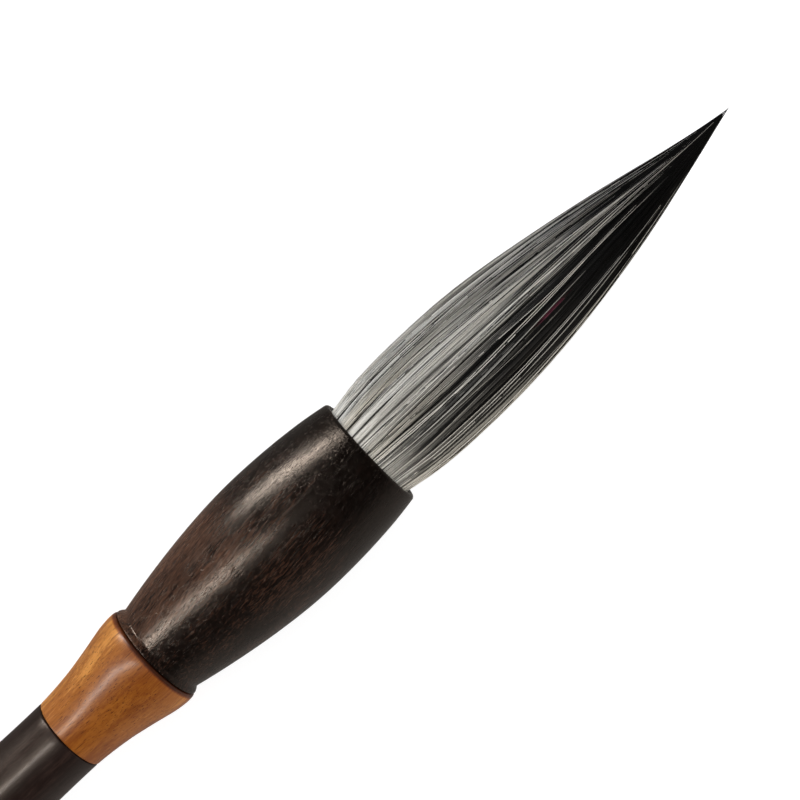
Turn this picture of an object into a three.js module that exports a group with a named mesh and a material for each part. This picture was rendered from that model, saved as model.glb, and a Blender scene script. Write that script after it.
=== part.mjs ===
// A large calligraphy brush for couplets and big characters, lying at rest on a table.
// It is turned from three lengths of dark hardwood joined by two rings of orange wood:
// a barrel-shaped cup that holds the hair, a flared collar, a slim handle, a small tail
// ring and a tail cap with a blind hole for a hanging loop.
// The hair is tied round its root, sealed with rosin and glued into the cup.
// Units are millimetres. In the brush's own frame, x runs along the axis towards the tip
// of the hair, with x = 0 at the cup's mouth. The finished brush is then pitched so that
// it rests on the cup's belly and on the tail cap, with the tip a little raised.

import * as THREE from "three";

// Turned pieces are made with flats that touch the true round, one of them straight down,
// so that the brush lies still at its true height.
const FLATS = 24;
const CORNER_SHARE = 1 / Math.cos(Math.PI / FLATS);
// Glued faces keep this gap, which is the thickness of the glue line.
const GLUE_LINE = 0.12;

// Hair: what shows in front of the mouth, and the root inside the cup.
const HAIR_LENGTH = 65;
const HAIR_MOUTH_RADIUS = 7.3;
const HAIR_BELLY_RADIUS = 8.2;
const HAIR_BELLY_X = 12.8;
const ROOT_X = -14;
const ROOT_RADIUS = 6.95;
// The two outer layers of hair are even at the root and thin to an edge where they end.
const COVER = { thickness: 0.9, endX: 50 };
const LINING = { thickness: 1.3, endX: 34 };
const LAYER_TAPER = 14;
const LAYER_EDGE = 0.1;

// Binding thread: a close helix in a waist of the root.
const THREAD_RADIUS = 0.28;
const THREAD_PITCH = 0.62;
const THREAD_TURNS = 5;
const THREAD_START_X = -12;
const WAIST_DEPTH = 0.5;
// The glue sleeve ends this far behind the mouth, where the hair starts to swell.
const GLUE_FRONT_X = -1.6;

// Cup: the barrel-shaped ferrule. Behind its neck it flares into a small lip.
const CUP_LENGTH = 39.1;
const CUP_MOUTH_RADIUS = 8.45;
const CUP_BELLY_RADIUS = 9.73;
const CUP_BELLY_X = -15.5;
const CUP_NECK_X = -38.05;
const CUP_NECK_RADIUS = 6.92;
const CUP_LIP_RADIUS = 7.42;
const CUP_BORE_RADIUS = 7.55;
const CUP_BORE_DEPTH = 16.5;
const CUP_CHAMFER = 0.25;
const SPIGOT_RADIUS = 6.2;
const SPIGOT_LENGTH = 1.2;

// Collar: the flared ring of orange wood behind the cup.
const COLLAR_LENGTH = 15.7;
const COLLAR_BEAD_RADIUS = 7.64;
const COLLAR_REAR_RADIUS = 5.5;

// Dowels that pin the turned pieces together end to end.
const DOWEL_RADIUS = 3.2;
const DOWEL_REACH = 12;
const TAIL_DOWEL_RADIUS = 1.8;
const TAIL_DOWEL_REACH = 6;

// Handle, tail ring and tail cap.
const HANDLE_LENGTH = 136;
const HANDLE_BELLY_RADIUS = 5.94;
const HANDLE_TAIL_RADIUS = 4.35;
const TAIL_RING_LENGTH = 7;
const TAIL_RING_RADIUS = 5.1;
const TAIL_CAP_LENGTH = 17;
const TAIL_CAP_RADIUS = 5.35;
const TAIL_FACE_RADIUS = 2.9;
const CORD_HOLE_RADIUS = 1.2;
const CORD_HOLE_DEPTH = 7;

// Places along the axis, from the mouth back to the tail.
const CUP_REAR_X = -CUP_LENGTH;
const COLLAR_REAR_X = CUP_REAR_X - COLLAR_LENGTH;
const HANDLE_REAR_X = COLLAR_REAR_X - HANDLE_LENGTH;
const RING_REAR_X = HANDLE_REAR_X - TAIL_RING_LENGTH;
const TAIL_X = RING_REAR_X - TAIL_CAP_LENGTH;
const TAIL_BELLY_X = TAIL_X + 6;

const finish = (color, roughness) =>
  new THREE.MeshStandardMaterial({ color, roughness, metalness: 0 });
const darkWood = finish(0x3a2a24, 0.38);
const orangeWood = finish(0xa8622e, 0.34);
const paleDowelWood = finish(0xc9a878, 0.7);
const whiteHair = finish(0xa6a198, 0.55);
const greyHair = finish(0x77736c, 0.6);
const blackHair = finish(0x1b1b1e, 0.5);
const threadCotton = finish(0xd8cfb8, 0.85);
const rosin = finish(0x6b3f1a, 0.3);
const driedGlue = finish(0xcdb98c, 0.3);

// A smooth stretch of outline through a few (x, radius) points, with some steps in each span.
function smooth(points, stepsInSpan) {
  const curve = new THREE.SplineCurve(points.map(([x, r]) => new THREE.Vector2(x, r)));
  return curve.getPoints(stepsInSpan * (points.length - 1)).map((p) => [p.x, p.y]);
}

// A body turned about the brush's axis. The outline's points are (x, radius), in order from
// the tail towards the tip along the outside and back along any bore.
function turned(name, outline, material) {
  const points = outline.map(([x, r]) => new THREE.Vector2(r * CORNER_SHARE, x));
  const closed = points[0].x > 0;
  if (closed) points.push(points[0].clone());
  const geometry = new THREE.LatheGeometry(points, FLATS, Math.PI / FLATS);
  geometry.rotateZ(-Math.PI / 2);
  const mesh = new THREE.Mesh(geometry, material);
  mesh.name = name;
  return mesh;
}

// The hair's outer surface: full at the belly, then tapering almost straight to a fine point.
const hairOutline = smooth(
  [
    [0, HAIR_MOUTH_RADIUS],
    [6, 8.0],
    [HAIR_BELLY_X, HAIR_BELLY_RADIUS],
    [22, 7.92],
    [32.4, 6.71],
    [45, 4.5],
    [55.6, 2.06],
    [62, 0.62],
    [HAIR_LENGTH, 0],
  ],
  12,
);

function hairRadius(x) {
  const next = Math.max(1, hairOutline.findIndex(([place]) => place >= x));
  const [x0, r0] = hairOutline[next - 1];
  const [x1, r1] = hairOutline[next];
  return THREE.MathUtils.mapLinear(x, x0, x1, r0, r1);
}

function layerThickness(layer, x) {
  const share = THREE.MathUtils.clamp((layer.endX - x) / LAYER_TAPER, 0, 1);
  return THREE.MathUtils.lerp(LAYER_EDGE, layer.thickness, share);
}

// How deep the hair inside some layers starts, with a glue line's gap under each of them.
function depthUnder(layers, x) {
  return layers
    .filter((layer) => x <= layer.endX)
    .reduce((depth, layer) => depth + layerThickness(layer, x) + GLUE_LINE, 0);
}

// The outline from one place to another, moved in by a depth that may change along it.
function hairStretch(fromX, toX, steps, depthAt) {
  return Array.from({ length: steps + 1 }, (_, i) => {
    const x = THREE.MathUtils.lerp(fromX, toX, i / steps);
    return [x, hairRadius(x) - depthAt(x)];
  });
}

// The tied root inside the cup: straight, with a waist where the thread is wound.
function rootStretch(depth) {
  const r = ROOT_RADIUS - depth;
  const waistStart = THREAD_START_X - 2 * THREAD_RADIUS;
  const waistEnd = THREAD_START_X + THREAD_TURNS * THREAD_PITCH + 2 * THREAD_RADIUS;
  return [
    [ROOT_X, r],
    [waistStart - 0.3, r],
    [waistStart, r - WAIST_DEPTH],
    [waistEnd, r - WAIST_DEPTH],
    [waistEnd + 0.5, r],
    [GLUE_FRONT_X + 0.4, r],
  ];
}

// A layer of hair round what is inside it: both of its walls follow the outline.
function hairSleeve(name, layer, layersOutside, steps, material) {
  const outerDepth = (x) => depthUnder(layersOutside, x);
  const innerDepth = (x) => outerDepth(x) + layerThickness(layer, x);
  const outer = [...rootStretch(outerDepth(0)), ...hairStretch(0, layer.endX, steps, outerDepth)];
  const inner = [...rootStretch(innerDepth(0)), ...hairStretch(0, layer.endX, steps, innerDepth)];
  return turned(name, [...outer, ...inner.reverse()], material);
}

function hairCover() {
  return hairSleeve("hair_cover", COVER, [], 16, whiteHair);
}

function hairLining() {
  return hairSleeve("hair_lining", LINING, [COVER], 11, greyHair);
}

// The longest hairs: inside both sleeves at the root, and the whole brush point in front of them.
function hairCore() {
  const depthAt = (x) => depthUnder([COVER, LINING], x);
  const pastEdge = 0.15;
  return turned(
    "hair_core",
    [
      [ROOT_X, 0],
      ...rootStretch(depthAt(0)),
      ...hairStretch(0, LINING.endX, 11, depthAt),
      ...hairStretch(LINING.endX + 2 * pastEdge, COVER.endX, 5, depthAt),
      ...hairStretch(COVER.endX + pastEdge, HAIR_LENGTH, 6, depthAt),
    ],
    blackHair,
  );
}

// Thread wound tight round the root: a wire along a helix.
class Helix extends THREE.Curve {
  constructor(radius, pitch, turns, startX) {
    super();
    Object.assign(this, { radius, pitch, turns, startX });
  }
  getPoint(t, target = new THREE.Vector3()) {
    const angle = 2 * Math.PI * this.turns * t;
    const x = this.startX + this.pitch * this.turns * t;
    return target.set(x, this.radius * Math.sin(angle), this.radius * Math.cos(angle));
  }
}

function bindingThread() {
  const sides = 6;
  const section = new THREE.Shape(
    Array.from({ length: sides }, (_, i) => {
      const angle = (2 * Math.PI * i) / sides;
      return new THREE.Vector2(THREAD_RADIUS * Math.cos(angle), THREAD_RADIUS * Math.sin(angle));
    }),
  );
  const radius = (ROOT_RADIUS - WAIST_DEPTH) * CORNER_SHARE + THREAD_RADIUS + GLUE_LINE;
  const geometry = new THREE.ExtrudeGeometry(section, {
    steps: THREAD_TURNS * FLATS,
    bevelEnabled: false,
    extrudePath: new Helix(radius, THREAD_PITCH, THREAD_TURNS, THREAD_START_X),
  });
  const mesh = new THREE.Mesh(geometry, threadCotton);
  mesh.name = "binding_thread";
  return mesh;
}

// Rosin melted over the cut ends of the hair, behind the root.
function rosinSeal() {
  const thickness = 1.4;
  const front = ROOT_X - GLUE_LINE;
  return turned(
    "rosin_seal",
    [
      [front - thickness, 0],
      [front - thickness, ROOT_RADIUS - 0.8],
      [front - thickness / 2, ROOT_RADIUS],
      [front, ROOT_RADIUS],
      [front, 0],
    ],
    rosin,
  );
}

// The sleeve of glue between the root and the cup's bore.
function rootGlue() {
  const inner = ROOT_RADIUS + GLUE_LINE;
  const outer = CUP_BORE_RADIUS - GLUE_LINE;
  const back = THREAD_START_X + THREAD_TURNS * THREAD_PITCH + 1.5;
  return turned(
    "root_glue",
    [
      [back, inner],
      [back, outer],
      [GLUE_FRONT_X - 0.4, outer],
      [GLUE_FRONT_X, inner],
    ],
    driedGlue,
  );
}

const dowelBore = DOWEL_RADIUS + GLUE_LINE;
const tailDowelBore = TAIL_DOWEL_RADIUS + GLUE_LINE;

function cup() {
  const barrel = smooth(
    [
      [CUP_NECK_X, CUP_NECK_RADIUS],
      [-33.5, 7.84],
      [-27.3, 8.84],
      [-21, 9.52],
      [CUP_BELLY_X, CUP_BELLY_RADIUS],
      [-9.4, 9.53],
      [-4, 9.04],
      [-CUP_CHAMFER, CUP_MOUTH_RADIUS],
    ],
    2,
  );
  const lip = [
    [CUP_REAR_X, CUP_LIP_RADIUS - 0.14],
    [CUP_REAR_X + 0.12, CUP_LIP_RADIUS],
    [CUP_REAR_X + 0.45, CUP_LIP_RADIUS - 0.16],
    [CUP_REAR_X + 0.8, CUP_NECK_RADIUS + 0.06],
  ];
  const socketEnd = CUP_REAR_X + DOWEL_REACH + GLUE_LINE;
  return turned(
    "cup",
    [
      [socketEnd, 0],
      [socketEnd, dowelBore],
      [CUP_REAR_X - SPIGOT_LENGTH, dowelBore],
      [CUP_REAR_X - SPIGOT_LENGTH, SPIGOT_RADIUS],
      [CUP_REAR_X, SPIGOT_RADIUS],
      ...lip,
      ...barrel,
      [0, CUP_MOUTH_RADIUS - CUP_CHAMFER],
      [0, CUP_BORE_RADIUS + CUP_CHAMFER],
      [-CUP_CHAMFER, CUP_BORE_RADIUS],
      [-CUP_BORE_DEPTH, CUP_BORE_RADIUS],
      [-CUP_BORE_DEPTH - 1.2, 0],
    ],
    darkWood,
  );
}

function collar() {
  const front = CUP_REAR_X - GLUE_LINE;
  const rear = COLLAR_REAR_X;
  const recess = SPIGOT_RADIUS + GLUE_LINE;
  const recessFloor = CUP_REAR_X - SPIGOT_LENGTH - GLUE_LINE;
  const flare = smooth(
    [
      [rear, COLLAR_REAR_RADIUS],
      [-52.5, 5.66],
      [-49, 6.08],
      [-45, 6.86],
      [-42.4, 7.42],
      [-40.4, COLLAR_BEAD_RADIUS],
      [front - 0.18, 7.56],
    ],
    2,
  );
  return turned(
    "collar",
    [
      [rear, dowelBore],
      ...flare,
      [front, 7.36],
      [front, recess],
      [recessFloor, recess],
      [recessFloor, dowelBore],
    ],
    orangeWood,
  );
}

function jointDowel() {
  const chamfer = 0.5;
  const rear = COLLAR_REAR_X - DOWEL_REACH;
  const front = CUP_REAR_X + DOWEL_REACH;
  return turned("joint_dowel", chamferedRod(rear, front, DOWEL_RADIUS, chamfer), paleDowelWood);
}

function chamferedRod(rear, front, radius, chamfer) {
  return [
    [rear, 0],
    [rear, radius - chamfer],
    [rear + chamfer, radius],
    [front - chamfer, radius],
    [front, radius - chamfer],
    [front, 0],
  ];
}

function handle() {
  const front = COLLAR_REAR_X - GLUE_LINE;
  const rear = HANDLE_REAR_X;
  const shaft = smooth(
    [
      [rear, HANDLE_TAIL_RADIUS],
      [-165, 4.72],
      [-130, 5.5],
      [-98, HANDLE_BELLY_RADIUS],
      [-74, 5.78],
      [-61, 5.51],
      [front, COLLAR_REAR_RADIUS],
    ],
    3,
  );
  return turned(
    "handle",
    [
      [rear + TAIL_DOWEL_REACH + GLUE_LINE, 0],
      [rear + TAIL_DOWEL_REACH + GLUE_LINE, tailDowelBore],
      [rear, tailDowelBore],
      ...shaft,
      [front, dowelBore],
      [COLLAR_REAR_X - DOWEL_REACH - GLUE_LINE, dowelBore],
      [COLLAR_REAR_X - DOWEL_REACH - GLUE_LINE, 0],
    ],
    darkWood,
  );
}

function tailRing() {
  const front = HANDLE_REAR_X - GLUE_LINE;
  const flare = smooth(
    [
      [RING_REAR_X, TAIL_RING_RADIUS - 0.3],
      [RING_REAR_X + 0.7, TAIL_RING_RADIUS],
      [RING_REAR_X + 3, 4.72],
      [front, HANDLE_TAIL_RADIUS],
    ],
    3,
  );
  return turned(
    "tail_ring",
    [[RING_REAR_X, tailDowelBore], ...flare, [front, tailDowelBore]],
    orangeWood,
  );
}

function tailDowel() {
  const rear = RING_REAR_X - TAIL_DOWEL_REACH;
  const front = HANDLE_REAR_X + TAIL_DOWEL_REACH;
  return turned("tail_dowel", chamferedRod(rear, front, TAIL_DOWEL_RADIUS, 0.3), paleDowelWood);
}

function tailCap() {
  const front = RING_REAR_X - GLUE_LINE;
  const socketEnd = RING_REAR_X - TAIL_DOWEL_REACH - GLUE_LINE;
  const body = smooth(
    [
      [TAIL_X + 0.3, TAIL_FACE_RADIUS + 0.45],
      [TAIL_X + 2.4, 4.55],
      [TAIL_BELLY_X, TAIL_CAP_RADIUS],
      [TAIL_X + 9.6, 4.95],
      [TAIL_X + 13, 4.2],
      [TAIL_X + 15.4, 4.15],
      [front, 4.6],
    ],
    2,
  );
  return turned(
    "tail_cap",
    [
      [TAIL_X + CORD_HOLE_DEPTH, 0],
      [TAIL_X + CORD_HOLE_DEPTH - 0.7, CORD_HOLE_RADIUS],
      [TAIL_X + 0.3, CORD_HOLE_RADIUS],
      [TAIL_X, CORD_HOLE_RADIUS + 0.3],
      [TAIL_X, TAIL_FACE_RADIUS],
      ...body,
      [front, tailDowelBore],
      [socketEnd, tailDowelBore],
      [socketEnd, 0],
    ],
    darkWood,
  );
}

const brush = new THREE.Group();
brush.add(
  hairCore(),
  hairLining(),
  hairCover(),
  bindingThread(),
  rosinSeal(),
  rootGlue(),
  cup(),
  collar(),
  jointDowel(),
  handle(),
  tailRing(),
  tailDowel(),
  tailCap(),
);

// At rest the brush touches the table with the cup's belly and the tail cap's.
const restPitch = Math.atan2(CUP_BELLY_RADIUS - TAIL_CAP_RADIUS, CUP_BELLY_X - TAIL_BELLY_X);
brush.rotation.y = -restPitch;

// The origin is at the middle of the brush's box, at the height of the table.
const box = new THREE.Box3().setFromObject(brush, true);
const middle = box.getCenter(new THREE.Vector3());
brush.position.set(-middle.x, -middle.y, -box.min.z);

const calligraphyBrush = new THREE.Group();
calligraphyBrush.add(brush);

export default calligraphyBrush;
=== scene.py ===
# %% [markdown]
# # A large calligraphy brush
#
# The brush lies at rest on a pale table. From the tip back it is a tuft of hair, a barrel-shaped
# cup of dark wood, a flared collar of orange wood, a slim dark handle, a small orange ring and a
# tail cap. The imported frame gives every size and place, so this script only makes the looks:
# finer surfaces, thousands of hairs, wood with grain and pores, light and a camera.

# %% Load the frame
import math
from types import SimpleNamespace

import bmesh
import bpy
from mathutils import Matrix, Vector


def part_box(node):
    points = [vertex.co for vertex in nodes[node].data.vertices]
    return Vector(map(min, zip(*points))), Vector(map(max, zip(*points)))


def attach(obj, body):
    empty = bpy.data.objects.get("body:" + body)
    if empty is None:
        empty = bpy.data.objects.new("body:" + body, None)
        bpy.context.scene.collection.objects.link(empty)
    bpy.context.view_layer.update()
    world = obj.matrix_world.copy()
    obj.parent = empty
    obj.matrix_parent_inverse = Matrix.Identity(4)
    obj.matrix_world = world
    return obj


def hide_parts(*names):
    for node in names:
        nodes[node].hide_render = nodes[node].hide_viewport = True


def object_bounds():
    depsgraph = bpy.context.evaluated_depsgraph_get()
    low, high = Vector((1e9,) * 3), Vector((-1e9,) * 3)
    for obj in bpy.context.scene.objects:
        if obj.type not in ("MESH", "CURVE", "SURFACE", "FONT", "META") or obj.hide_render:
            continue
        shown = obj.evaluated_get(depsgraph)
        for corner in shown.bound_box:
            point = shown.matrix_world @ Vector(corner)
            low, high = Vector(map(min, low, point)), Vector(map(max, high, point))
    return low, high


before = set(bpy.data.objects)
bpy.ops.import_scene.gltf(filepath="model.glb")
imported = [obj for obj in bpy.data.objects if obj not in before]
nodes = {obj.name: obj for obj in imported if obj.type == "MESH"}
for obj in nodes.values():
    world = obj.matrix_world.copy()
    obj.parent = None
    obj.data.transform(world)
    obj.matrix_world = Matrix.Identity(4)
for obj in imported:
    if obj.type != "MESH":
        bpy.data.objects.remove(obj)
cad_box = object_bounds()
MM = 0.001
print(len(nodes), "nodes, box in mm:", [tuple(round(c / MM, 1) for c in corner) for corner in cad_box])

# %% [markdown]
# ## The brush's own frame
#
# The brush rests on its two fattest places, so its axis isn't level. Everything on it was turned on
# a lathe or combed along that axis, and is easier to make there: x runs along the axis towards the
# tip, in millimetres, and is 0 at the cup's mouth. The middles of the two dowels lie on the axis,
# which gives its direction, and the cup's foremost point gives the mouth.

# %% Find the axis and the mouth
def middle(node):
    low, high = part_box(node)
    return (low + high) / 2


axis = (middle("joint_dowel") - middle("tail_dowel")).normalized()
side = Vector((0, 1, 0))
turned = Matrix((axis, side, axis.cross(side))).transposed().to_4x4()
start = middle("joint_dowel")
mouth = start + axis * max((v.co - start).dot(axis) for v in nodes["cup"].data.vertices)
BRUSH = Matrix.Translation(mouth) @ turned @ Matrix.Scale(MM, 4)
print("mouth in mm:", tuple(round(c / MM, 2) for c in mouth))
print("pitch in degrees:", round(math.degrees(math.asin(axis.z)), 2))

# %% [markdown]
# ## Camera
#
# A product picture from straight above, with the brush across the frame from corner to corner. A
# long lens from about 28 cm keeps the perspective mild. The camera hangs over the tuft and its
# picture is shifted a little, as with a view camera: turning the camera instead would tilt the
# table, and the round joints have to bow more the further back they are. Places are in mm, in the
# brush's own frame.

# %% Place the camera
CAMERA_HEIGHT = 280
CAMERA_OVER = (14.9, 2.2)
PICTURE_CENTRE = (7.4, 2.2)
PICTURE_WIDTH = 105.47
BRUSH_TURN = math.radians(43.25)

camera = bpy.data.objects.new("camera", bpy.data.cameras.new("camera"))
camera.data.sensor_width = 36
camera.data.lens = camera.data.sensor_width * CAMERA_HEIGHT / PICTURE_WIDTH
camera.data.clip_start = 0.01
bpy.context.scene.collection.objects.link(camera)
bpy.context.scene.camera = camera
camera.location = (BRUSH @ Vector((*CAMERA_OVER, 0))) + Vector((0, 0, CAMERA_HEIGHT * MM))
camera.rotation_euler = (0, 0, -BRUSH_TURN)
aside = (Vector(PICTURE_CENTRE) - Vector(CAMERA_OVER)) / PICTURE_WIDTH
aside.rotate(Matrix.Rotation(BRUSH_TURN, 2))
camera.data.shift_x, camera.data.shift_y = aside
print("lens:", round(camera.data.lens, 1), "mm, shifted by", [round(s, 3) for s in aside])

# %% [markdown]
# ## Two helpers for node trees
#
# Shaders and Geometry Nodes are both trees of nodes. `add` makes one node and fills its inputs,
# with a value or with a link. `Value` wraps a socket so that a formula can be written as one: each
# sign adds one Math node, in either kind of tree. Its `smooth` eases from one number to another
# while the value goes from low to high, which is how most patterns here start and stop.

# %% Node helpers
def plug(tree, socket, value):
    value = value.socket if isinstance(value, Value) else value
    if isinstance(value, bpy.types.NodeSocket):
        tree.links.new(value, socket)
    else:
        socket.default_value = value


def add(tree, kind, inputs=None, **settings):
    node = tree.nodes.new(kind)
    for name, value in settings.items():
        setattr(node, name, value)
    for key, value in (inputs or {}).items():
        plug(tree, node.inputs[key], value)
    return node


class Value:
    def __init__(self, tree, socket):
        self.tree, self.socket = tree, socket

    def math(self, operation, *others):
        inputs = dict(enumerate((self, *others)))
        return Value(self.tree, add(self.tree, "ShaderNodeMath", inputs, operation=operation).outputs[0])

    def __add__(self, other):
        return self.math("ADD", other)

    def __sub__(self, other):
        return self.math("SUBTRACT", other)

    def __mul__(self, other):
        return self.math("MULTIPLY", other)

    def __truediv__(self, other):
        return self.math("DIVIDE", other)

    def smooth(self, low, high, to_low=0.0, to_high=1.0):
        inputs = {"Value": self, "From Min": low, "From Max": high, "To Min": to_low, "To Max": to_high}
        node = add(self.tree, "ShaderNodeMapRange", inputs, interpolation_type="SMOOTHSTEP")
        return Value(self.tree, node.outputs[0])


def noise(tree, place, detail=2.0, roughness=0.5):
    inputs = {"Vector": place, "Scale": 1.0, "Detail": detail, "Roughness": roughness}
    return Value(tree, add(tree, "ShaderNodeTexNoise", inputs).outputs[0])


def ramp(tree, factor, stops, ease="EASE"):
    node = add(tree, "ShaderNodeValToRGB", {"Fac": factor})
    node.color_ramp.interpolation = ease
    elements = node.color_ramp.elements
    while len(elements) < len(stops):
        elements.new(1.0)
    for element, (place, colour) in zip(elements, stops):
        element.position = place
        element.color = (*colour, 1)
    return node.outputs[0]


# %% [markdown]
# ## Outlines from the frame
#
# Each turned node is a lathe shape with flats. One half-plane through the axis cuts it along its
# outline, which is a chain of mesh edges. Walking that chain gives the outline in order, and the
# flats touch the true round, so the cosine brings its radii back.

# %% Read a node's outline
NEAR = 0.001


def outline_of(node):
    mesh = bmesh.new()
    mesh.from_mesh(nodes[node].data)
    bmesh.ops.transform(mesh, matrix=BRUSH.inverted(), verts=mesh.verts)
    bmesh.ops.remove_doubles(mesh, verts=mesh.verts, dist=NEAR)
    radius = {v: math.hypot(v.co.y, v.co.z) for v in mesh.verts}
    angle = {v: math.atan2(v.co.y, v.co.z) for v in mesh.verts if radius[v] > NEAR}
    widest = max(angle, key=radius.get)
    rim = [v for v in angle if abs(v.co.x - widest.co.x) < NEAR and abs(radius[v] - radius[widest]) < NEAR]
    true = math.cos(math.pi / len(rim))
    chain = {v for v in mesh.verts if radius[v] <= NEAR or abs(angle[v] - angle[widest]) < NEAR}
    ends = [v for v in chain if radius[v] <= NEAR]
    walked = [min(ends or chain, key=lambda v: v.co.x)]
    while walked:
        ahead = [e.other_vert(walked[-1]) for e in walked[-1].link_edges]
        ahead = [v for v in ahead if v in chain and v not in walked]
        if not ahead:
            break
        walked.append(max(ahead, key=lambda v: radius[v]))
    points = [Vector((v.co.x, radius[v] * true)) for v in walked]
    mesh.free()
    return points, not ends


# %% [markdown]
# ## Smooth outlines with soft corners
#
# Where the outline turns gently, a curve through its points gives the true sweep of the gouge.
# Where it turns sharply there is an edge, and a real edge is never perfectly sharp: sandpaper takes
# it off, so each corner gets a small round that catches the light.

# %% Refine an outline
GENTLE = math.radians(22)


def refine(points, closed, rounding, step):
    count = len(points)
    ways = [(points[(i + 1) % count] - points[i]) for i in range(count)]
    marks = []
    for i, point in enumerate(points):
        before, after = ways[i - 1], ways[i]
        if not closed and i in (0, count - 1):
            way = (after if i == 0 else before).normalized()
            marks.append((point, way))
        elif before.angle(after) < GENTLE:
            way = before.normalized() * after.length + after.normalized() * before.length
            marks.append((point, way.normalized()))
        else:
            cut = min(rounding, 0.45 * before.length, 0.45 * after.length)
            marks.append((point - before.normalized() * cut, before.normalized()))
            marks.append((point + after.normalized() * cut, after.normalized()))
    if closed:
        marks.append(marks[0])
    fine = []
    for (p, leave), (q, arrive) in zip(marks, marks[1:]):
        chord = (q - p).length
        straight = max(leave.angle(q - p), arrive.angle(q - p)) < 0.002
        steps = 1 if straight else max(4 if leave.angle(arrive) > 0.3 else 1, math.ceil(chord / step))
        for k in range(steps):
            t = k / steps
            fine.append(
                p * (2 * t**3 - 3 * t**2 + 1)
                + leave * chord * (t**3 - 2 * t**2 + t)
                + q * (3 * t**2 - 2 * t**3)
                + arrive * chord * (t**3 - t**2)
            )
    return fine if closed else fine + [points[-1]]


# %% [markdown]
# ## A lathe
#
# The real pieces were turned on a lathe, and the Screw modifier does the same to an outline: it
# sweeps it about an axis. A cylinder pushed into shape would lose its edges and bores. The result
# is made a plain mesh, its normals are set to point outwards, and it is moved to where the brush
# lies.

# %% Turn an outline
def link(name, mesh):
    piece = bpy.data.objects.new(name, mesh)
    bpy.context.scene.collection.objects.link(piece)
    return piece


def plain_mesh(piece, name):
    evaluated = piece.evaluated_get(bpy.context.evaluated_depsgraph_get())
    mesh = bpy.data.meshes.new_from_object(evaluated)
    mesh.name = name
    bpy.data.objects.remove(piece)
    return mesh


def lathe(name, points, closed, segments):
    mesh = bpy.data.meshes.new(name + "_outline")
    count = len(points)
    edges = [(i, (i + 1) % count) for i in range(count if closed else count - 1)]
    mesh.from_pydata([(p.x, 0, max(p.y, 0)) for p in points], edges, [])
    piece = link(name + "_outline", mesh)
    screw = piece.modifiers.new("lathe", "SCREW")
    screw.axis = "X"
    screw.steps = screw.render_steps = segments
    screw.use_merge_vertices = True
    screw.merge_threshold = NEAR / 10
    mesh = plain_mesh(piece, name)
    work = bmesh.new()
    work.from_mesh(mesh)
    bmesh.ops.remove_doubles(work, verts=work.verts, dist=NEAR / 10)
    bmesh.ops.recalc_face_normals(work, faces=work.faces)
    work.to_mesh(mesh)
    work.free()
    mesh.transform(BRUSH)
    mesh.shade_smooth()
    return link(name, mesh)


def turn_node(node, material, rounding, step, segments):
    points, closed = outline_of(node)
    piece = lathe("turned_" + node, refine(points, closed, rounding, step), closed, segments)
    piece.data.materials.append(material)
    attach(piece, "root")
    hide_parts(node)
    print(piece.name, len(points), "outline points,", len(piece.data.polygons), "faces")
    return piece


# %% [markdown]
# ## Stage
#
# The brush lies on a light table, which glows a little, so it stays white and the brush's shadow is
# only a breath of grey. A plain white table would need so much light that the hair burnt out. The
# table isn't reflected in the brush, as a polarising filter would do, so that the dark wood stays
# dark up to its edges.

# %% Table
bpy.context.scene.view_settings.view_transform = "Standard"
TABLE_WIDTH = 6
TABLE_WHITE = 0.4
TABLE_GLOW = 0.84


def table(height):
    half = TABLE_WIDTH / 2
    corners = [(x, y, height) for x, y in ((-half, -half), (half, -half), (half, half), (-half, half))]
    mesh = bpy.data.meshes.new("table")
    mesh.from_pydata(corners, [], [(0, 1, 2, 3)])
    material = bpy.data.materials.new("table_white")
    material.use_nodes = True
    shader = material.node_tree.nodes["Principled BSDF"]
    shader.inputs["Base Color"].default_value = (TABLE_WHITE, TABLE_WHITE, TABLE_WHITE, 1)
    shader.inputs["Roughness"].default_value = 0.9
    shader.inputs["Specular IOR Level"].default_value = 0.1
    shader.inputs["Emission Color"].default_value = (1, 1, 1, 1)
    shader.inputs["Emission Strength"].default_value = TABLE_GLOW
    mesh.materials.append(material)
    piece = link("table", mesh)
    piece.visible_glossy = False


table(cad_box[0].z)
print("the table lies at", round(cad_box[0].z / MM, 2), "mm")

# %% [markdown]
# ## Room and lamps
#
# Each lamp has one job, which makes the light easy to tune. Two narrow strips only make highlights:
# one overhead, for the rear of the cup, the collar and the handle, and one low on the far side, for
# the cup near its mouth. Four softboxes only light the surfaces: a broad one from the far side, one
# from above, and two weak ones from the near side that keep its shadows open. The room adds a warm
# glow from below and from the horizon, most of all on the near side, and is dark overhead, because
# a bright ceiling would lie as a veil on the lacquer.

# %% Room and lamps
# The room's colour from straight below, at 0, to straight above, at 1.
ROOM = [
    (0.00, (0.26, 0.24, 0.22)),
    (0.42, (0.32, 0.295, 0.27)),
    (0.52, (0.34, 0.315, 0.29)),
    (0.62, (0.15, 0.14, 0.13)),
    (0.80, (0.025, 0.023, 0.021)),
    (1.00, (0.02, 0.018, 0.016)),
]


def room():
    world = bpy.data.worlds.new("room")
    bpy.context.scene.world = world
    world.use_nodes = True
    tree = world.node_tree
    way = add(tree, "ShaderNodeSeparateXYZ", {0: tree.nodes.new("ShaderNodeTexCoord").outputs["Generated"]})
    height = Value(tree, way.outputs["Z"]) * 0.5 + 0.5
    brighter_near = Value(tree, way.outputs["Y"]) * -0.35 + 0.75
    background = next(n for n in tree.nodes if n.type == "BACKGROUND")
    plug(tree, background.inputs["Color"], ramp(tree, height, ROOM, "LINEAR"))
    plug(tree, background.inputs["Strength"], brighter_near)


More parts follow.
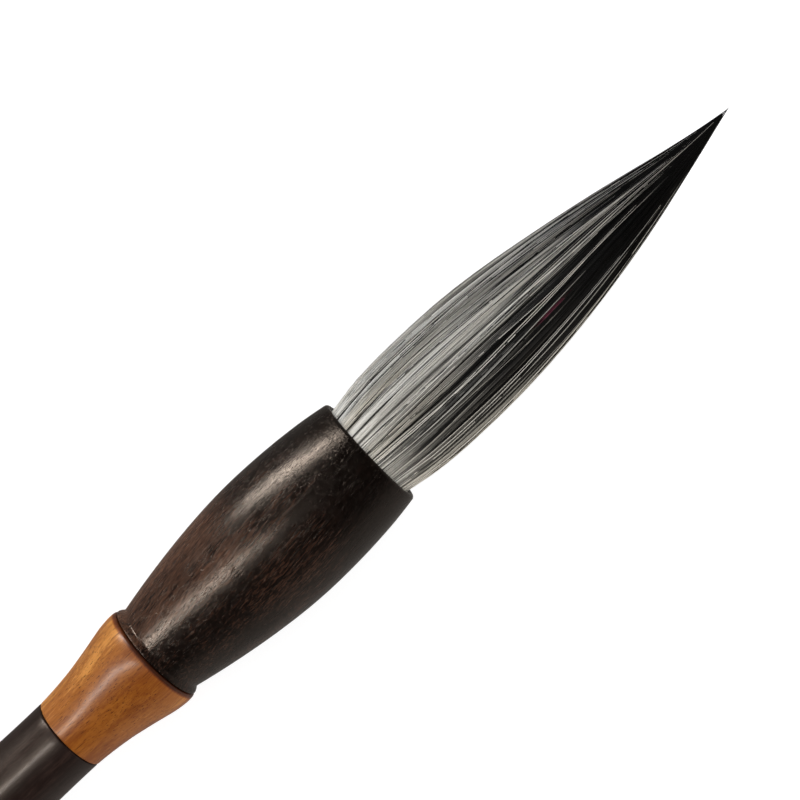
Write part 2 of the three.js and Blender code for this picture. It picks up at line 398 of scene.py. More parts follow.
def area_lamp(name, way, up, size, brightness, reflected, colour=(1, 1, 1)):
    """A flat rectangular lamp a metre away that faces the brush; up is where its height points.

    A reflected one only makes highlights, and any other only lights the surfaces.
    """
    light = bpy.data.lights.new(name, "AREA")
    light.shape = "RECTANGLE"
    light.size_y, light.size = size
    light.energy = brightness * math.pi * size[0] * size[1]
    light.color = colour
    lamp = bpy.data.objects.new(name, light)
    bpy.context.scene.collection.objects.link(lamp)
    out = Vector(way).normalized()
    up = (Vector(up) - out * Vector(up).dot(out)).normalized()
    turn = Matrix((up.cross(out), up, out)).transposed().to_4x4()
    lamp.matrix_world = Matrix.Translation((BRUSH @ Vector((0, 0, 0))) + Vector(way)) @ turn
    lamp.visible_glossy = reflected
    lamp.visible_diffuse = not reflected
    lamp.visible_camera = False
    return lamp


def softbox(name, way, size, brightness):
    area_lamp(name, Vector(way).normalized(), (0, 0, 1), size, brightness, False)


STRIP_COLOUR = (1.0, 0.93, 0.86)


def strip(name, start, end, width, brightness):
    """A straight lamp whose mirror image on the brush runs from one way to another."""
    start, end = Vector(start).normalized(), Vector(end).normalized()
    size = ((end - start).length, width)
    area_lamp(name, (start + end) / 2, start - end, size, brightness, True, STRIP_COLOUR)


room()
strip("overhead_streak", (-0.24, 0.165, 0.95), (-0.755, 0.48, 0.20), 0.07, 27)
strip("side_streak", (0.19, 0.83, 0.52), (-0.155, 0.965, 0.18), 0.13, 27)
softbox("broad", (0.0, 0.80, 0.60), (0.7, 0.9), 3.0)
softbox("fill", (0.3, -0.75, 0.6), (0.6, 0.9), 0.6)
softbox("top", (0.2, 0.0, 1.0), (0.8, 0.8), 2.4)
softbox("low_fill", (0.2, -0.95, 0.25), (0.4, 1.4), 1.1)
print("lamps:", ", ".join(light.name for light in bpy.data.lights))

# %% [markdown]
# ## Wood
#
# Wood is a bundle of long fibres, so its patterns are noise that is squeezed along the grain. It is
# read in the brush's own frame and not unwrapped onto the surface, so it runs through a piece as
# real grain does. Six scales of it work together: a broad figure that drifts from dark to light,
# streaks, flecks, grit that only roughens the polish, fine fibres, and pores, which are short thin
# dashes cut into the surface.

# %% Material helpers
RELIEF_DEPTH = 0.1 * MM


def new_material(name, roughness, specular=0.5, coat=0.0, coat_roughness=0.1):
    material = bpy.data.materials.new(name)
    material.use_nodes = True
    shader = material.node_tree.nodes["Principled BSDF"]
    shader.inputs["Roughness"].default_value = roughness
    shader.inputs["Specular IOR Level"].default_value = specular
    shader.inputs["Coat Weight"].default_value = coat
    shader.inputs["Coat Roughness"].default_value = coat_roughness
    return material, material.node_tree, shader


def brush_place(tree, slant=0.0):
    """Where a point is in the brush's own frame, which may be turned a little to slant the grain."""
    place, turn, size = (BRUSH @ Matrix.Rotation(slant, 4, "Z")).decompose()
    inputs = {
        "Vector": tree.nodes.new("ShaderNodeTexCoord").outputs["Object"],
        "Location": place,
        "Rotation": turn.to_euler(),
        "Scale": size,
    }
    return add(tree, "ShaderNodeMapping", inputs, vector_type="TEXTURE").outputs[0]


def stretched(tree, place, along, across):
    inputs = {0: place, 1: (along, across, across)}
    return add(tree, "ShaderNodeVectorMath", inputs, operation="MULTIPLY").outputs[0]


def mix(tree, factor, first, second, blend="MIX"):
    """Mixes two colours, whose sockets are the Mix node's 6 and 7."""
    inputs = {0: factor, 6: first, 7: second}
    return add(tree, "ShaderNodeMix", inputs, data_type="RGBA", blend_type=blend).outputs[2]


def bump(tree, shader, height, strength):
    inputs = {"Height": height, "Strength": strength, "Distance": RELIEF_DEPTH}
    plug(tree, shader.inputs["Normal"], add(tree, "ShaderNodeBump", inputs).outputs[0])


# %% Grain
WOOD_LUSTRE = (1.0, 0.88, 0.78, 1)


def wood(
    name,
    colours,
    pore_colour,
    pores,
    roughness,
    slant=0.0,
    relief=0.3,
    flecked=0.06,
    shade=None,
    **finish,
):
    """Wood whose tone runs through the colours; shade adds to the tone from place to place."""
    material, tree, shader = new_material(name, roughness, **finish)
    shader.inputs["Specular Tint"].default_value = WOOD_LUSTRE
    place = brush_place(tree, slant)
    figure = noise(tree, stretched(tree, place, 0.035, 0.24), detail=2)
    streaks = noise(tree, stretched(tree, place, 0.06, 2.1), detail=5, roughness=0.6)
    flecks = noise(tree, stretched(tree, place, 0.6, 4.4), detail=4, roughness=0.7).smooth(0.36, 0.64)
    grit = noise(tree, stretched(tree, place, 1.6, 5.0), detail=2, roughness=0.7).smooth(0.56, 0.72)
    fibres = noise(tree, stretched(tree, place, 0.5, 11.0), detail=3, roughness=0.7)
    pore = noise(tree, stretched(tree, place, 0.12, 9.5), detail=1).smooth(*pores)
    tone = figure * 0.42 + streaks * 0.28 + (flecks - 0.5) * flecked + fibres * 0.12 + 0.09
    if shade:
        xyz = add(tree, "ShaderNodeSeparateXYZ", {0: brush_place(tree)})
        tone = tone + shade(Value(tree, xyz.outputs["X"]), Value(tree, xyz.outputs["Y"]))
    colour = mix(tree, pore, ramp(tree, tone, colours), (*pore_colour, 1))
    plug(tree, shader.inputs["Base Color"], colour)
    rough = noise(tree, stretched(tree, place, 0.3, 1.5), detail=3)
    plug(tree, shader.inputs["Roughness"], rough.smooth(0.3, 0.7, roughness - 0.05, roughness + 0.07))
    bump(tree, shader, flecks * 0.10 + grit * 0.35 + fibres * 0.15 - pore * 0.5, relief)
    return material


# %% [markdown]
# ## Three finishes
#
# The cup is dark hardwood with a satin wax. Its grain is slanted by 7 degrees, because a blank is
# seldom cut quite along the grain, and it has a patch of paler sapwood. The collar and the ring at
# the tail are a lighter wood under orange varnish, which is a clear coat over the colour. The collar
# is painted golden on the side towards the lamps, which is painted light, and it is dark at the edge
# that meets the cup. The handle is dark wood under a thin lacquer.

# %% Choose the woods
def cup_shade(x, y):
    """Paler sapwood at the back on one side, and the darkest heartwood at the mouth."""
    sapwood = y.smooth(-0.5, 3.5) * x.smooth(-14, -24, 0.0, 0.20)
    return sapwood - x.smooth(-14, -4, 0.0, 0.12)


def collar_shade(x, y):
    """Painted light: golden on the side towards the lamps. Dark at the edge that meets the cup."""
    return y.smooth(2.8, 5.2, 0.0, 0.15) - x.smooth(-39.9, -39.4, 0.0, 0.4)


dark_wood = wood(
    "satin_dark_wood",
    [
        (0.38, (0.0025, 0.0014, 0.0011)),
        (0.52, (0.0085, 0.0045, 0.0034)),
        (0.66, (0.052, 0.024, 0.015)),
        (0.86, (0.135, 0.062, 0.036)),
    ],
    (0.004, 0.0025, 0.002),
    (0.66, 0.72),
    roughness=0.22,
    slant=math.radians(7),
    relief=0.5,
    flecked=0.19,
    shade=cup_shade,
)
orange_wood = wood(
    "varnished_orange_wood",
    [
        (0.10, (0.050, 0.012, 0.004)),
        (0.36, (0.18, 0.040, 0.005)),
        (0.46, (0.27, 0.072, 0.009)),
        (0.56, (0.39, 0.122, 0.016)),
        (0.72, (0.70, 0.29, 0.056)),
    ],
    (0.070, 0.015, 0.003),
    (0.645, 0.69),
    roughness=0.38,
    relief=0.15,
    shade=collar_shade,
    specular=0.25,
    coat=0.35,
    coat_roughness=0.24,
)
handle_wood = wood(
    "lacquered_dark_wood",
    [
        (0.36, (0.006, 0.0034, 0.0028)),
        (0.50, (0.016, 0.0085, 0.0072)),
        (0.64, (0.048, 0.026, 0.020)),
        (0.85, (0.10, 0.056, 0.040)),
    ],
    (0.005, 0.0035, 0.003),
    (0.66, 0.72),
    roughness=0.36,
    relief=0.2,
    specular=0.4,
    coat=0.2,
    coat_roughness=0.2,
)
print("woods:", ", ".join(material.name for material in (dark_wood, orange_wood, handle_wood)))

# %% [markdown]
# ## Turn the wooden pieces
#
# `rounding` is how far sandpaper has taken off an edge, and `step` is the length of a face along
# the brush, both in mm. The cup and the collar are seen from closest by, so they have the most
# segments. The bores and spigots are part of each outline, so they come out with it.

# %% Make the wooden pieces
turn_node("cup", dark_wood, rounding=0.14, step=0.5, segments=128)
turn_node("collar", orange_wood, rounding=0.12, step=0.4, segments=128)
turn_node("handle", handle_wood, rounding=0.22, step=1.5, segments=96)
turn_node("tail_ring", orange_wood, rounding=0.12, step=0.3, segments=96)
turn_node("tail_cap", handle_wood, rounding=0.14, step=0.4, segments=96)

# %% [markdown]
# ## The tuft's outline
#
# All the hairs follow one outline: straight in the cup, full at the belly, then drawn out to a fine
# point. The frame holds it in two nodes, because the cover of pale hair ends before the point.
# The outermost radius at each place is what the hairs need.

# %% Read the tuft's outline
ROOT_X = min(p.x for p in outline_of("hair_core")[0])
TIP_X = max(p.x for p in outline_of("hair_core")[0])
TUFT_STEPS = 40


def radius_at(points, x):
    """The outermost radius where the outline's chords cross x."""
    found = [0.0]
    for p, q in zip(points, points[1:]):
        if min(p.x, q.x) <= x <= max(p.x, q.x) and abs(q.x - p.x) > NEAR:
            found.append(p.y + (q.y - p.y) * (x - p.x) / (q.x - p.x))
    return max(found)


layers = [outline_of(node)[0] for node in ("hair_cover", "hair_core")]
places = [ROOT_X + (TIP_X - ROOT_X) * i / TUFT_STEPS for i in range(TUFT_STEPS + 1)]
tuft = [(x, max(radius_at(layer, x) for layer in layers)) for x in places]
FATTEST = max(r for _, r in tuft)
print("tuft from", round(ROOT_X, 2), "to", round(TIP_X, 2), "fattest radius", round(FATTEST, 2))

# %% [markdown]
# ## Hair colour
#
# Every hair has its own tone, and darkens along its length at its own place. One material for each
# hair would be far too many. So the tone is worked out where the hairs are made, and stored in a UV
# map: U is the tone from black to white, V is the tint from cool to warm, with red at its end.
# The material is then only a palette that is read through that map.

# %% Hair palette
PALETTE_MAP = "OFBake"
HAIR_TONES = [
    (0.00, (0.0016, 0.0016, 0.0017)),
    (0.20, (0.016, 0.016, 0.0165)),
    (0.40, (0.090, 0.089, 0.086)),
    (0.60, (0.27, 0.266, 0.25)),
    (0.80, (0.56, 0.55, 0.52)),
    (1.00, (0.92, 0.91, 0.88)),
]
HAIR_TINTS = [
    (0.00, (0.88, 0.94, 1.04)),
    (0.25, (0.97, 0.97, 0.97)),
    (0.50, (1.01, 0.98, 0.93)),
    (0.80, (1.03, 0.95, 0.82)),
    (0.92, (1.03, 0.92, 0.74)),
    (1.00, (1.20, 0.30, 0.50)),
]


def hair_material():
    material, tree, shader = new_material("combed_hair", 0.46, specular=0.12)
    palette_place = add(tree, "ShaderNodeUVMap", uv_map=PALETTE_MAP).outputs[0]
    tone_and_tint = add(tree, "ShaderNodeSeparateXYZ", {0: palette_place})
    tones = ramp(tree, tone_and_tint.outputs["X"], HAIR_TONES, "LINEAR")
    tints = ramp(tree, tone_and_tint.outputs["Y"], HAIR_TINTS, "LINEAR")
    plug(tree, shader.inputs["Base Color"], mix(tree, 1.0, tones, tints, "MULTIPLY"))
    return material


hair = hair_material()
print(hair.name, "has", len(HAIR_TONES), "tones and", len(HAIR_TINTS), "tints")

# %% [markdown]
# ## A tree that combs hair
#
# One hair is a short curve. Geometry Nodes copy it thousands of times and then move each point by
# a formula of two things: which hair it is on, and how far along. Blender's hair tools would comb
# it by hand, but a formula gives the same tuft every time and is easy to change. Each input has a
# name, so that one tree combs both the pale cover and the black core. Lengths are in millimetres:
# "Sooner" is how much further back the hair turns black, and "Sunk" is how much deeper it lies
# until it nears the point.

# %% Start a tree with named inputs
HAIR = {
    "Hairs": 100,
    "First Hair": 0,
    "Locks": 58,
    "Root": -9.0,
    "Shortest": 40.0,
    "Longest": 64.0,
    "Layer Depth": 0.7,
    "Hair Radius": 0.06,
    "Sooner": 0.0,
    "Palest": 0.90,
    "Sunk": 0.0,
}


def geometry_tree(name, sizes):
    tree = bpy.data.node_groups.new(name, "GeometryNodeTree")
    tree.interface.new_socket("Geometry", in_out="OUTPUT", socket_type="NodeSocketGeometry")
    for label, value in sizes.items():
        kind = "NodeSocketInt" if isinstance(value, int) else "NodeSocketFloat"
        tree.interface.new_socket(label, in_out="INPUT", socket_type=kind)
    given = tree.nodes.new("NodeGroupInput")
    return tree, {label: Value(tree, given.outputs[label]) for label in sizes}


comb_tree, size = geometry_tree("comb_hair", HAIR)
print("a tree with the inputs", ", ".join(size))

# %% [markdown]
# ## Chance and drift
#
# Nothing on a brush is quite regular. `chance` gives each hair or lock a number from 0 to 1 that
# never changes, because its seed is fixed. `drift` gives each a slow wander along the brush, which
# is smooth, because it is read from noise. `curve_through` turns a few points into a smooth curve.

# %% Random numbers, wanders and curves
def chance(which, seed):
    inputs = {2: 0.0, 3: 1.0, "ID": which, "Seed": seed}
    node = add(comb_tree, "FunctionNodeRandomValue", inputs, data_type="FLOAT")
    return Value(comb_tree, node.outputs[1])


def drift(which, along, seed, pace):
    """A slow wander along x, from about -1 to 1, that is different for each hair or lock."""
    place = add(comb_tree, "ShaderNodeCombineXYZ", {0: which * 7.31 + seed, 1: along * pace, 2: seed})
    return (noise(comb_tree, place.outputs[0], detail=1) - 0.5) * 2.6


def curve_through(value, points):
    """A Float Curve node through points whose places and heights run from 0 to 1."""
    node = add(comb_tree, "ShaderNodeFloatCurve", {"Value": value})
    marks = node.mapping.curves[0].points
    while len(marks) < len(points):
        marks.new(0.5, 0.5)
    for mark, point in zip(marks, points):
        mark.location = point
    node.mapping.update()
    return Value(comb_tree, node.outputs[0])


# %% [markdown]
# ## Start the hairs
#
# Every hair starts as a copy of one straight line. Its number times the golden ratio, without the
# whole part, spreads the hairs evenly round the tuft however many there are. Hair that was wet and
# has dried clings together in locks, so that place also says which lock a hair is in. A few hairs,
# white or dark, belong to no lock and lie loose on top.

# %% Hairs and locks
POINTS_IN_HAIR = 17
GOLDEN = 0.61803399
WHITE_SHARE = 0.03
DARK_SHARE = 0.016


def start_hairs():
    """The straight hairs, and in h what is known about each of their points."""
    line = add(comb_tree, "GeometryNodeCurvePrimitiveLine", {"End": (1, 0, 0)}).outputs[0]
    one = add(comb_tree, "GeometryNodeResampleCurve", {"Curve": line, "Count": POINTS_IN_HAIR}).outputs[0]
    spots = add(comb_tree, "GeometryNodeMeshLine", {"Count": size["Hairs"]}).outputs[0]
    copies = add(comb_tree, "GeometryNodeInstanceOnPoints", {"Points": spots, "Instance": one}).outputs[0]
    hairs = add(comb_tree, "GeometryNodeRealizeInstances", {0: copies}).outputs[0]

    h = SimpleNamespace()
    h.t = Value(comb_tree, comb_tree.nodes.new("GeometryNodeSplineParameter").outputs["Factor"])
    index = comb_tree.nodes.new("GeometryNodeCurveOfPoint").outputs["Curve Index"]
    h.which = Value(comb_tree, index) + size["First Hair"]
    h.own = [chance(h.which, seed) for seed in range(6)]

    # Where in its lock a hair is: 0 in the middle, 1 and -1 at the edges.
    h.spread = (h.which * GOLDEN).math("FRACT") * size["Locks"]
    h.lock = h.spread.math("FLOOR")
    h.across = (h.spread - h.lock) * 2.0 - 1.0
    h.edge = h.across.math("ABSOLUTE")
    h.fate = [chance(h.lock, 20 + seed) for seed in range(3)]

    h.white = h.own[3].smooth(1 - WHITE_SHARE, 1 - WHITE_SHARE + 0.001)
    h.dark = h.own[3].smooth(DARK_SHARE + 0.001, DARK_SHARE)
    h.loose = h.white + h.dark
    h.held = h.loose * -1.0 + 1.0
    h.buried = h.own[1].smooth(0.55, 0.8)
    return hairs, h


hairs, h = start_hairs()
print("a tuft has", HAIR["Locks"], "locks, and", f"{WHITE_SHARE + DARK_SHARE:.1%}", "of its hairs lie loose")

# %% [markdown]
# ## Comb the hairs
#
# Three formulas give each point its place. Along the brush, a hair ends somewhere between the
# shortest and the longest. Round the brush, the locks differ in width, wander, and widen or narrow,
# while the buried hairs spread out and fill the gaps. Outwards, a hair follows the tuft's outline:
# each lock is crowned, lies above or below its neighbours, and has a valley on either side. The
# tuft isn't quite straight either, and its point leans to one side.

# %% Where each hair lies
FULL_TURN = 2 * math.pi
SURFACE = FATTEST - 0.07


def place_along(h):
    reach = size["Longest"] - size["Shortest"]
    ends = size["Shortest"] + reach * (h.own[0].math("POWER", 0.8) * 0.75 + h.fate[2] * 0.25)
    h.x = size["Root"] + (ends - size["Root"]) * h.t
    along = (h.x - ROOT_X) / (TIP_X - ROOT_X)
    outline = [((place - ROOT_X) / (TIP_X - ROOT_X), radius / FATTEST) for place, radius in tuft]
    h.fullness = curve_through(along, outline)


def place_round(h):
    wide = (drift(h.lock, h.x, 31.7, 0.03) * 0.3 + 0.84) + h.buried * 0.5
    stray = drift(h.which, h.x, 77.1, 0.024) * (h.loose * 1.1 + 0.10)
    flow = drift((h.lock / 7.0).math("FLOOR"), h.x, 12.9, 0.02) * 0.6
    wander = drift(h.lock, h.x, 3.3, 0.024) * 0.85 * (h.buried * -1.0 + 1.0)
    centre = h.lock + 0.5 + wander + flow
    part = (centre + h.across * wide * 0.5 + stray) / size["Locks"]
    # Waves round the tuft gather the locks in some places and part them in others.
    eleven_waves = (part * (FULL_TURN * 11)).math("SINE") * 0.006
    seventeen_waves = (part * (FULL_TURN * 17) + 2.0).math("SINE") * 0.003
    h.part = part + eleven_waves + seventeen_waves
    h.angle = h.part * FULL_TURN


def place_out(h):
    crown = (h.edge * h.edge * -0.20 + 0.12) + drift(h.lock, h.x, 55.9, 0.03) * 0.12
    crown = crown * h.held + h.loose * 0.2
    h.valley = h.edge.smooth(0.82, 0.93) * h.held
    deep = (h.own[1] * h.own[1] * size["Layer Depth"] + h.valley * 0.08) * h.held
    sunk = h.x.smooth(40, 54, size["Sunk"], 0.0)
    h.radius = h.fullness * (crown * h.x.smooth(0, 5) - deep + SURFACE) - sunk


def lean_at(x):
    """How far the tuft leans aside at x, which may be a number or a Value."""
    if isinstance(x, Value):
        share = (x / TIP_X).math("MAXIMUM", 0.0)
        return share.math("POWER", 8.0) * 0.70 - x.smooth(18, 38) * 0.16 + 0.05
    share = max(0, x / TIP_X)
    eased = min(1, max(0, (x - 18) / 20))
    return share**8 * 0.70 - eased**2 * (3 - 2 * eased) * 0.16 + 0.05


place_along(h)
place_round(h)
place_out(h)
y = h.radius * h.angle.math("SINE") + lean_at(h.x)
z = h.radius * h.angle.math("COSINE")
place = add(comb_tree, "ShaderNodeCombineXYZ", {0: h.x, 1: y, 2: z}).outputs[0]
hairs = add(comb_tree, "GeometryNodeSetPosition", {"Geometry": hairs, "Position": place}).outputs[0]
thick = size["Hair Radius"] * (h.own[2] * 0.6 + 0.7 + h.white * 0.1) * h.t.smooth(0.55, 1.0, 1.0, 0.3)
hairs = add(comb_tree, "GeometryNodeSetCurveRadius", {"Curve": hairs, "Radius": thick}).outputs[0]
print("the tip leans", round(lean_at(TIP_X), 2), "mm aside")

# %% [markdown]
# ## From grey to black
#
# The hair is pale at the root and black at the point, and the border between them is ragged. It
# lies further back on one side, so a curve once round the tuft gives its place. Then chance moves
# it for each lock, for each strand, which is a quarter of a lock, and for each hair. A second curve
# paints shade on the pale hair: it is darker round the tuft, least on the side towards the broad
# light. Buried hairs and those in the valleys are painted darker as shade, the side towards the
# light and the hair just out of the mouth are painted a touch paler as light, loose white hairs stay
# white for longer, and one lock has picked up a trace of red.

# %% Tone and tint
# Where the hair turns black, in mm from the mouth, once round the tuft from its top.
BLACK_FROM = [
    (0.00, 20),
    (0.04, 33),
    (0.10, 38),
    (0.16, 37),
    (0.25, 34),
    (0.40, 32),
    (0.60, 28),
    (0.75, 24),
    (0.83, 20),
    (0.89, 13),
    (0.95, 11),
    (1.00, 20),
]
# How much darker the pale hair is painted as shade, from 0 to 1, once round the tuft from its top.
PAINTED_SHADE_ROUND = [
    (0.00, 0.19),
    (0.04, 0.08),
    (0.12, 0.05),
    (0.25, 0.04),
    (0.50, 0.08),
    (0.78, 0.11),
    (0.85, 0.20),
    (0.91, 0.42),
    (0.96, 0.28),
    (1.00, 0.19),
]
CURVE_TOP = 50
STRANDS_IN_LOCK = 4.0
RED_PLACE = 0.937
RED_TINT_FROM = 0.90


def blackness(h):
    round_tuft = [(turn, place / CURVE_TOP) for turn, place in BLACK_FROM]
    h.strand = chance((h.spread * STRANDS_IN_LOCK).math("FLOOR"), 30)
    turns = curve_through(h.part.math("FRACT"), round_tuft) * CURVE_TOP - size["Sooner"]
    turns = turns + (h.fate[0] - 0.5) * 14.0 + (h.strand.smooth(0.6, 1.0, 0.0, 14.0) - 5.0)
    turns = turns + h.own[4].math("POWER", 5.0) * 16.0 + h.white * (h.own[5] * 24.0 + 8.0)
    return (h.x - turns).smooth(-4, 4)


def paleness(h):
    # Painted light: the side of the tuft towards the broad light is a touch paler.
    painted_light_side = (h.angle - math.radians(60)).math("COSINE")
    # Painted shade: the pale hair is darker round the tuft, least on the side towards the broad light.
    painted_shade = curve_through(h.part.math("FRACT"), PAINTED_SHADE_ROUND) * h.x.smooth(-2, 10, 0.4, 1.0)
    pale = size["Palest"] - h.fate[1] * 0.14 + (h.own[5] - 0.5) * 0.32
    # Painted shade: hairs in the valleys between the locks are darker.
    pale = pale - h.valley * 0.60 - h.dark * 0.5 + h.white * (h.own[1] * 0.2 - 0.02)
    # Painted light: the hair is a touch paler in its first millimetres out of the mouth.
    pale = pale - h.x.smooth(0, 36) * 0.14 - h.x.smooth(1, 8) * 0.09 + 0.09
    # Painted shade: buried hairs are darker.
    return pale - h.buried * h.x.smooth(0, 16, 0.12, 0.24) + painted_light_side * 0.03 - painted_shade * h.held


def trace_of_red(h):
    near = (h.part.math("FRACT") - RED_PLACE).math("ABSOLUTE").smooth(0.006, 0.003)
    return near * h.x.smooth(26.5, 29) * h.x.smooth(33.5, 31)


black = blackness(h)
red = trace_of_red(h)
blackest = (h.strand * 0.18 + 0.04) * h.x.smooth(26, 48, 1.0, 0.0) + 0.02
tone = paleness(h) * (black * -1.0 + 1.0) + black * blackest
tone = tone.math("MAXIMUM", red * (h.own[2] * 0.4 + 0.3))
warm = (h.angle + math.radians(75)).math("COSINE")
tint = drift(h.lock, h.x, 91.3, 0.03) * 0.28 + warm * 0.14 + 0.45 + black * (warm * 0.45 - 0.3)
tint = tint.math("MINIMUM", RED_TINT_FROM) + red
print("the hair turns black", min(p for _, p in BLACK_FROM), "to", max(p for _, p in BLACK_FROM), "mm out")

# %% [markdown]
# ## Give the hairs their thickness
#
# A curve has no surface, so each hair becomes a thin tube with three sides, which is enough for a
# tenth of a millimetre. The tone and tint travel with it as attributes and end up in the palette's
# UV map. A face needs some width in that map for its colour to be baked, so the way round the tube
# is added to both, too little to be seen.

# %% Finish the tree
SIDES = 3
UV_WIDTH = 0.012


def store(geometry, name, value, **kind):
    inputs = {"Geometry": geometry, "Name": name, "Value": value}
    return add(comb_tree, "GeometryNodeStoreNamedAttribute", inputs, **kind).outputs[0]


def stored(name):
    node = add(comb_tree, "GeometryNodeInputNamedAttribute", {"Name": name}, data_type="FLOAT")
    return Value(comb_tree, node.outputs[0])


def make_tubes(hairs):
    around = Value(comb_tree, comb_tree.nodes.new("GeometryNodeSplineParameter").outputs["Factor"])
    ring = add(comb_tree, "GeometryNodeCurvePrimitiveCircle", {"Resolution": SIDES, "Radius": 1.0}).outputs[0]
    hairs = store(store(hairs, "tone", tone), "tint", tint)
    inputs = {"Curve": hairs, "Profile Curve": store(ring, "around", around), "Fill Caps": True}
    tubes = add(comb_tree, "GeometryNodeCurveToMesh", inputs)
    # Where the node has a Scale socket, it takes a hair's radius from there.
    if "Scale" in tubes.inputs:
        plug(comb_tree, tubes.inputs["Scale"], comb_tree.nodes.new("GeometryNodeInputRadius").outputs[0])
    tubes = tubes.outputs[0]
    width = stored("around") * UV_WIDTH
    uv = add(comb_tree, "ShaderNodeCombineXYZ", {0: stored("tone") + width, 1: stored("tint") + width})
    tubes = store(tubes, PALETTE_MAP, uv.outputs[0], data_type="FLOAT2", domain="CORNER")
    for name in ("tone", "tint", "around"):
        tubes = add(comb_tree, "GeometryNodeRemoveAttribute", {"Geometry": tubes, "Name": name}).outputs[0]
    return add(comb_tree, "GeometryNodeSetShadeSmooth", {"Geometry": tubes}).outputs[0]


whole = add(comb_tree, "GeometryNodeRealizeInstances", {0: make_tubes(hairs)}).outputs[0]
whole = add(comb_tree, "GeometryNodeSetMaterial", {"Geometry": whole, "Material": hair}).outputs[0]
add(comb_tree, "NodeGroupOutput", {0: whole})
print("the tree has", len(comb_tree.nodes), "nodes")

# %% [markdown]
# ## What lies under the hair
#
# The cover is combed over two inner layers. Between the locks they show as a dark ground, which
# is painted shade, and at the point the core comes through as black hair. Both are turned from
# their nodes a little slimmer, so that the hairs always lie on top, and the point leans with the
# hairs.

# %% Make the inner layers
TIP_SHORTENED = 0.6


def under_hair():
    material, tree, shader = new_material("under_hair", 0.6, specular=0.25)
    streaks = noise(tree, stretched(tree, brush_place(tree), 0.05, 5.0), detail=3)
    # Dark all over: black hair where the core comes through at the point, painted shade between the locks.
    dark = [(0.35, (0.002, 0.002, 0.002)), (0.65, (0.014, 0.014, 0.013))]
    plug(tree, shader.inputs["Base Color"], ramp(tree, streaks, dark))
    bump(tree, shader, streaks, 0.5)
    return material


def inner_layer(node, slimmer, material):
    """slimmer is the share of its radius that a layer loses near the point."""
    points, closed = outline_of(node)
    for point in points:
        point.y *= 1 - slimmer * min(1, max(0, (point.x - 40) / 10))
        if point.x > TIP_X - 2 * NEAR:
            point.x -= TIP_SHORTENED
    piece = lathe("turned_" + node, refine(points, closed, 0.1, 1.0), closed, 72)
    back = BRUSH.inverted()
    for v in piece.data.vertices:
        v.co.y += lean_at((back @ v.co).x) * MM
    piece.data.materials.append(material)
    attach(piece, "root")
    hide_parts(node)
    print(piece.name, len(piece.data.polygons), "faces")


ground = under_hair()
inner_layer("hair_core", 0.12, ground)
inner_layer("hair_lining", 0.0, ground)

# %% [markdown]
# ## Grow the tuft
#
# The tree works as a modifier on an empty mesh. Its inputs are set by their identifiers, and its
# result is made a plain mesh. The cover is grown in three pieces, which keeps each of them light,
# and each starts at its own first hair, so that no hair is grown twice. The core is the same tree
# with other numbers: its hairs are longer, turn black sooner and lie deeper behind the point.

# %% Grow the hair
COVER_PIECES = 3
COVER_HAIRS = 1700


def grow(name, sizes):
    piece = link(name + "_growing", bpy.data.meshes.new(name + "_seed"))
    modifier = piece.modifiers.new("grow", "NODES")
    modifier.node_group = comb_tree
    for item in comb_tree.interface.items_tree:
        if item.in_out == "INPUT":
            modifier[item.identifier] = sizes[item.name]
    mesh = plain_mesh(piece, name)
    mesh.transform(BRUSH)
    print(name, len(mesh.polygons), "faces")
    return link(name, mesh)


for i in range(COVER_PIECES):
    share = {"Hairs": COVER_HAIRS, "First Hair": i * COVER_HAIRS}
    piece = grow(f"cover_hair_{i + 1}", HAIR | share)
    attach(piece, "root")
    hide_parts("hair_cover")

CORE = {"Hairs": 1500, "First Hair": 20000, "Root": 14.0, "Shortest": 56.0, "Longest": 65.5}
CORE_TONES = {"Sooner": 20.0, "Palest": 0.6, "Layer Depth": 0.5, "Sunk": 1.1}
piece = grow("core_hair", HAIR | CORE | CORE_TONES)
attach(piece, "root")

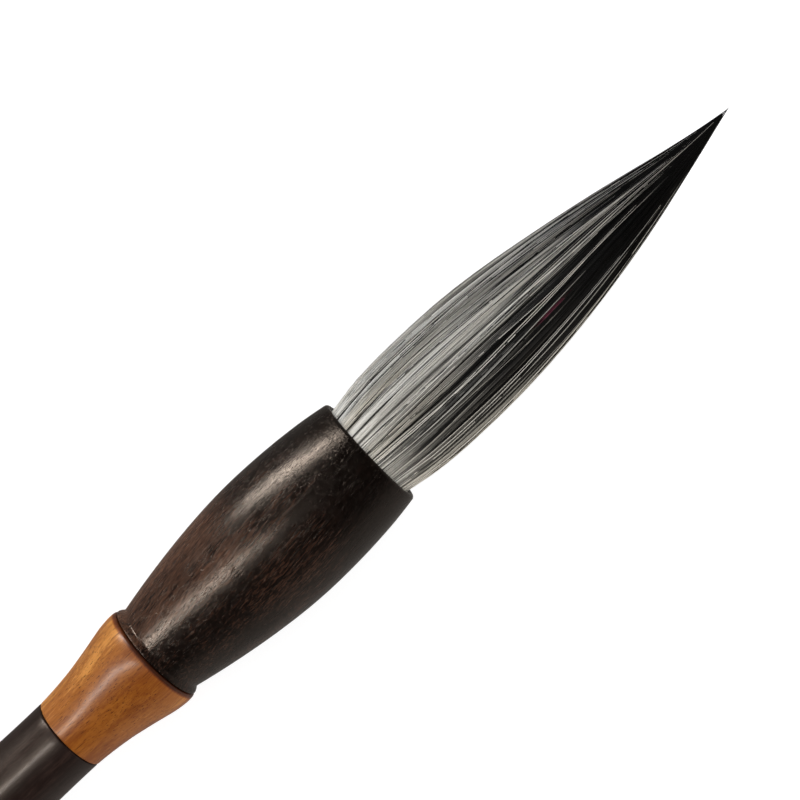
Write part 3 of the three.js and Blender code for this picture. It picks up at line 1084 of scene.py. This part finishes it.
# %% [markdown]
# ## What the cup hides
#
# The root of the tuft is tied with waxed thread, its cut ends are sealed with melted rosin, and glue
# holds it in the cup. Dowels pin the wooden pieces. Their shapes are already right, so the frame's own
# nodes stay, and each only gets a material: bare wood for the dowels, and for the others a noise whose
# scale is that of fibres, of bubbles or of drips.

# %% Finish the hidden nodes
def cast(name, colours, along, across, roughness, relief, **finish):
    """A mottled material; along and across are how many mottles there are to a millimetre."""
    material, tree, shader = new_material(name, roughness, **finish)
    mottle = noise(tree, stretched(tree, brush_place(tree), along, across), detail=4, roughness=0.6)
    plug(tree, shader.inputs["Base Color"], ramp(tree, mottle, colours))
    plug(tree, shader.inputs["Roughness"], mottle.smooth(0.3, 0.7, roughness + 0.1, roughness - 0.05))
    bump(tree, shader, mottle, relief)
    return material


bare_wood = wood(
    "bare_dowel_wood",
    [
        (0.36, (0.40, 0.25, 0.11)),
        (0.50, (0.56, 0.38, 0.19)),
        (0.66, (0.68, 0.50, 0.28)),
    ],
    (0.22, 0.12, 0.05),
    (0.64, 0.70),
    roughness=0.6,
)
COTTON_COLOURS = [(0.35, (0.50, 0.44, 0.31)), (0.65, (0.78, 0.73, 0.60))]
ROSIN_COLOURS = [(0.35, (0.055, 0.016, 0.004)), (0.65, (0.21, 0.075, 0.018))]
GLUE_COLOURS = [(0.35, (0.44, 0.33, 0.17)), (0.65, (0.66, 0.55, 0.34))]
waxed_cotton = cast("waxed_cotton", COTTON_COLOURS, 6.0, 14.0, roughness=0.55, relief=0.6, specular=0.35)
melted_rosin = cast("melted_rosin", ROSIN_COLOURS, 0.5, 0.5, roughness=0.12, relief=0.2, coat=0.6)
dried_glue = cast("dried_glue", GLUE_COLOURS, 0.4, 0.9, roughness=0.3, relief=0.4)

HIDDEN = {
    "binding_thread": waxed_cotton,
    "rosin_seal": melted_rosin,
    "root_glue": dried_glue,
    "joint_dowel": bare_wood,
    "tail_dowel": bare_wood,
}
for node, material in HIDDEN.items():
    for slot in nodes[node].material_slots:
        slot.material = material
    print(node, "is finished in", material.name)
